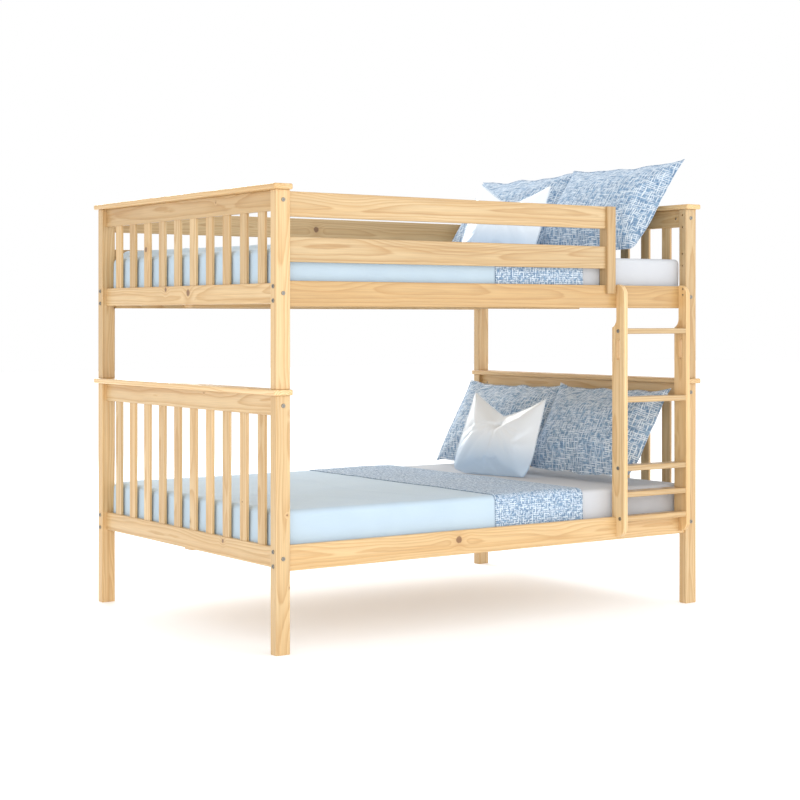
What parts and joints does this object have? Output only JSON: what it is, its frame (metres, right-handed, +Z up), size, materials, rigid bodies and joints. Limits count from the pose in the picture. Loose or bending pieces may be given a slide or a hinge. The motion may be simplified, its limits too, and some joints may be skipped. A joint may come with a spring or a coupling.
{
  "type": "bunk bed with ladder",
  "caption": "Pine bunk bed with slatted ends, guard boards, a bolted ladder, and a mattress, blanket, throw and pillows on each level.",
  "frame": {"origin": "on the floor, below the middle of the whole object's box", "axes": "+X along the bed from the foot end to the head end, +Y from the ladder side to the rear, +Z up"},
  "size_m": [2.015, 1.509, 1.8189],
  "materials": {
    "pine": "clear satin lacquer over light knotty pine",
    "deck_pine": "raw sawn pine",
    "dowel_wood": "raw beech",
    "steel": "zinc-plated bolts",
    "mattress_cotton": "light grey-white cotton",
    "blanket_blue": "plain light blue cotton",
    "throw_weave": "blue and white slub weave",
    "pillow_weave": "blue and white slub weave",
    "cushion_satin": "white satin"
  },
  "bodies": {
    "lower_bed": {"post_foot_front_lower": "pine", "post_foot_rear_lower": "pine", "cap_foot_lower": "pine", "rail_top_foot_lower": "pine", "rail_bottom_foot_lower": "pine", "slats_foot_lower": "pine", "post_head_front_lower": "pine", "post_head_rear_lower": "pine", "cap_head_lower": "pine", "rail_top_head_lower": "pine", "rail_bottom_head_lower": "pine", "slats_head_lower": "pine", "side_rail_front_lower": "pine", "side_rail_rear_lower": "pine", "deck_supports_lower": "deck_pine", "deck_slats_lower": "deck_pine", "frame_bolts_lower": "steel", "stacking_pins": "steel"},
    "upper_bed": {"post_foot_front_upper": "pine", "post_foot_rear_upper": "pine", "cap_foot_upper": "pine", "rail_top_foot_upper": "pine", "rail_bottom_foot_upper": "pine", "slats_foot_upper": "pine", "post_head_front_upper": "pine", "post_head_rear_upper": "pine", "cap_head_upper": "pine", "rail_top_head_upper": "pine", "rail_bottom_head_upper": "pine", "slats_head_upper": "pine", "side_rail_front_upper": "pine", "side_rail_rear_upper": "pine", "deck_supports_upper": "deck_pine", "deck_slats_upper": "deck_pine", "frame_bolts_upper": "steel", "guard_board_front_bottom": "pine", "guard_board_front_top": "pine", "guard_boards_rear": "pine", "guard_post": "pine", "wood_dowels": "dowel_wood", "ladder_stile_left": "pine", "ladder_stile_right": "pine", "ladder_rung_1": "pine", "ladder_rung_2": "pine", "ladder_rung_3": "pine", "ladder_rung_4": "pine", "ladder_rung_5": "pine", "ladder_bolts": "steel"},
    "lower_bedding": {"mattress_lower": "mattress_cotton", "blanket_lower": "blanket_blue", "throw_lower": "throw_weave"},
    "upper_bedding": {"mattress_upper": "mattress_cotton", "blanket_upper": "blanket_blue", "throw_upper": "throw_weave"},
    "lower_pillows": {"pillow_front_lower": "pillow_weave", "pillow_rear_lower": "pillow_weave", "cushion_lower": "cushion_satin"},
    "upper_pillows": {"pillow_front_upper": "pillow_weave", "pillow_rear_upper": "pillow_weave", "cushion_upper": "cushion_satin"}
  },
  "joints": [
    {"name": "upper_bed_lift", "type": "slide", "parent": "lower_bed", "child": "upper_bed", "axis": [0, 0, 1], "range_m": [0, 0.06]},
    {"name": "lower_bedding_lift", "type": "slide", "parent": "lower_bed", "child": "lower_bedding", "axis": [0, 0, 1], "range_m": [0, 0.08]},
    {"name": "upper_bedding_lift", "type": "slide", "parent": "upper_bed", "child": "upper_bedding", "axis": [0, 0, 1], "range_m": [0, 0.19]},
    {"name": "lower_pillows_lift", "type": "slide", "parent": "lower_bedding", "child": "lower_pillows", "axis": [0, 0, 1], "range_m": [0, 0.2]},
    {"name": "upper_pillows_lift", "type": "slide", "parent": "upper_bedding", "child": "upper_pillows", "axis": [0, 0, 1], "range_m": [0, 0.3]}
  ]
}
